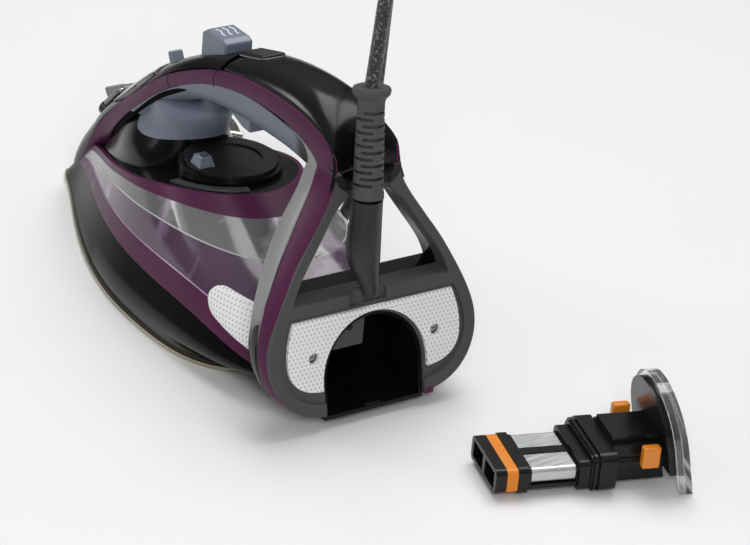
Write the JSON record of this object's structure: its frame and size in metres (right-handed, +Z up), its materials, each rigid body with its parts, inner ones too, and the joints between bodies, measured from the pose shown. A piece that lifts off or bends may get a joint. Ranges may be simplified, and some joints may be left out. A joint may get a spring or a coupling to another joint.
{
  "type": "corded steam iron",
  "caption": "Corded steam iron with loop handle and upright heel, thermostat dial, steam controls, mains lead with plug and a removable calc cartridge lying beside it.",
  "frame": {"origin": "middle of the soleplate, on its flat underside where the iron rests", "axes": "+Y to the nose, +Z up, +X to the right of someone holding the iron"},
  "size_m": [0.1858, 0.4999, 0.2998],
  "materials": {
    "sole_metal": "anodised champagne, satin",
    "cast_metal": "as cast",
    "element_steel": "dull",
    "gasket": "matt",
    "black_gloss": "high gloss",
    "black_satin": "satin",
    "aubergine": "satin gloss",
    "tank_purple": "translucent moulding",
    "tank_clear": "clear moulding",
    "heel_grey": "fine matt grain",
    "bevel_grey": "satin silver",
    "grip_blue": "soft touch",
    "button_blue": "satin",
    "white_pad": "dotted",
    "inner_plastic": "plain",
    "steel_pin": "plain",
    "spring_steel": "drawn wire",
    "cord_braid": "braided",
    "plug_black": "moulded",
    "brass_pins": "nickel plated",
    "orange": "satin",
    "orange_seal": "silicone",
    "plate_metal": "brushed",
    "cap_clear": "clear moulding",
    "seal_black": "soft",
    "board_green": "circuit board"
  },
  "bodies": {
    "iron_body": {"bay_bracket": "heel_grey", "bay_liner": "black_gloss", "control_board": "board_green", "cord_coil": "cord_braid", "cord_lead": "cord_braid", "deck_plate": "black_gloss", "dial_bezel": "black_gloss", "fabric_guide": "inner_plastic", "flap_pin": "steel_pin", "front_dome": "black_gloss", "grip_cover": "grip_blue", "guard_stem": "heel_grey", "handle_bands": "aubergine", "handle_top": "black_gloss", "handle_underside": "grip_blue", "heater_casting": "cast_metal", "heating_element": "element_steel", "heel_band": "aubergine", "heel_bevel": "bevel_grey", "heel_frame": "heel_grey", "heel_pad": "white_pad", "heel_screws": "steel_pin", "lower_band": "aubergine", "nose_spine": "black_gloss", "plug_body": "plug_black", "plug_pins": "brass_pins", "pump_body": "inner_plastic", "rear_handle_shell": "black_gloss", "side_badges": "white_pad", "skirt": "black_gloss", "sole_gasket": "gasket", "soleplate": "sole_metal", "spray_nozzle": "black_satin", "steam_button_spring": "spring_steel", "steam_chamber_cover": "cast_metal", "tank_floor": "tank_purple", "tank_side": "tank_purple", "tank_window": "tank_clear", "terminal_block": "inner_plastic", "thermostat": "element_steel", "trigger_pin": "steel_pin", "upper_band": "aubergine"},
    "steam_button_body": {"steam_button": "button_blue"},
    "spray_button_body": {"spray_button": "black_satin"},
    "steam_lever_body": {"steam_lever": "button_blue"},
    "trigger_body": {"trigger": "button_blue"},
    "dial_body": {"dial": "black_satin", "dial_pointer": "button_blue"},
    "fill_flap_body": {"fill_flap": "tank_clear"},
    "cord_guard_body": {"cord_guard": "heel_grey"},
    "cartridge_body": {"cartridge_cage": "black_satin", "cartridge_seal": "orange_seal", "cartridge_plates": "plate_metal", "cartridge_lips": "seal_black", "cartridge_flange": "black_satin", "cartridge_block": "black_satin", "cartridge_back_plate": "black_satin", "cartridge_cap": "cap_clear"},
    "latch_near_body": {"latch_near": "orange"},
    "latch_far_body": {"latch_far": "orange"}
  },
  "joints": [
    {"name": "steam_button_press", "type": "slide", "parent": "iron_body", "child": "steam_button_body", "axis": [0, 0, -1], "range_m": [0, 0.003], "stiffness_N_per_m": 600, "springref_m": -0.001, "deforming": ["steam_button_spring"]},
    {"name": "spray_button_press", "type": "slide", "parent": "iron_body", "child": "spray_button_body", "axis": [0, 0, -1], "range_m": [0, 0.0015], "stiffness_N_per_m": 600, "springref_m": -0.001},
    {"name": "steam_lever_slide", "type": "slide", "parent": "iron_body", "child": "steam_lever_body", "axis": [1, 0, 0], "range_m": [-0.003, 0.003]},
    {"name": "trigger_pull", "type": "hinge", "parent": "iron_body", "child": "trigger_body", "pos_m": [0, -0.0335, 0.122], "axis": [-1, 0, 0], "range_deg": [0, 7], "stiffness_Nm_per_rad": 0.4, "springref_deg": -2.86},
    {"name": "dial_turn", "type": "hinge", "parent": "iron_body", "child": "dial_body", "pos_m": [0, -0.04, 0.0805], "axis": [0, 0, 1], "range_deg": [-45, 225]},
    {"name": "fill_flap_open", "type": "hinge", "parent": "iron_body", "child": "fill_flap_body", "pos_m": [0, 0.068, 0.0813], "axis": [1, 0, 0], "range_deg": [0, 70]},
    {"name": "cord_guard_swivel", "type": "hinge", "parent": "iron_body", "child": "cord_guard_body", "pos_m": [-0.0085, -0.185, 0.071], "axis": [0.062, 0.1625, 0.9848], "range_deg": [-170, 170]},
    {"name": "cartridge_lift", "type": "slide", "parent": "iron_body", "child": "cartridge_body", "axis": [0, 0, 1], "range_m": [0, 0.06]},
    {"name": "latch_near_press", "type": "slide", "parent": "cartridge_body", "child": "latch_near_body", "axis": [0.3024, 0.9532, 0], "range_m": [0, 0.002], "stiffness_N_per_m": 800, "springref_m": -0.001},
    {"name": "latch_far_press", "type": "slide", "parent": "cartridge_body", "child": "latch_far_body", "axis": [-0.3024, -0.9532, 0], "range_m": [0, 0.002], "stiffness_N_per_m": 800, "springref_m": -0.001}
  ]
}
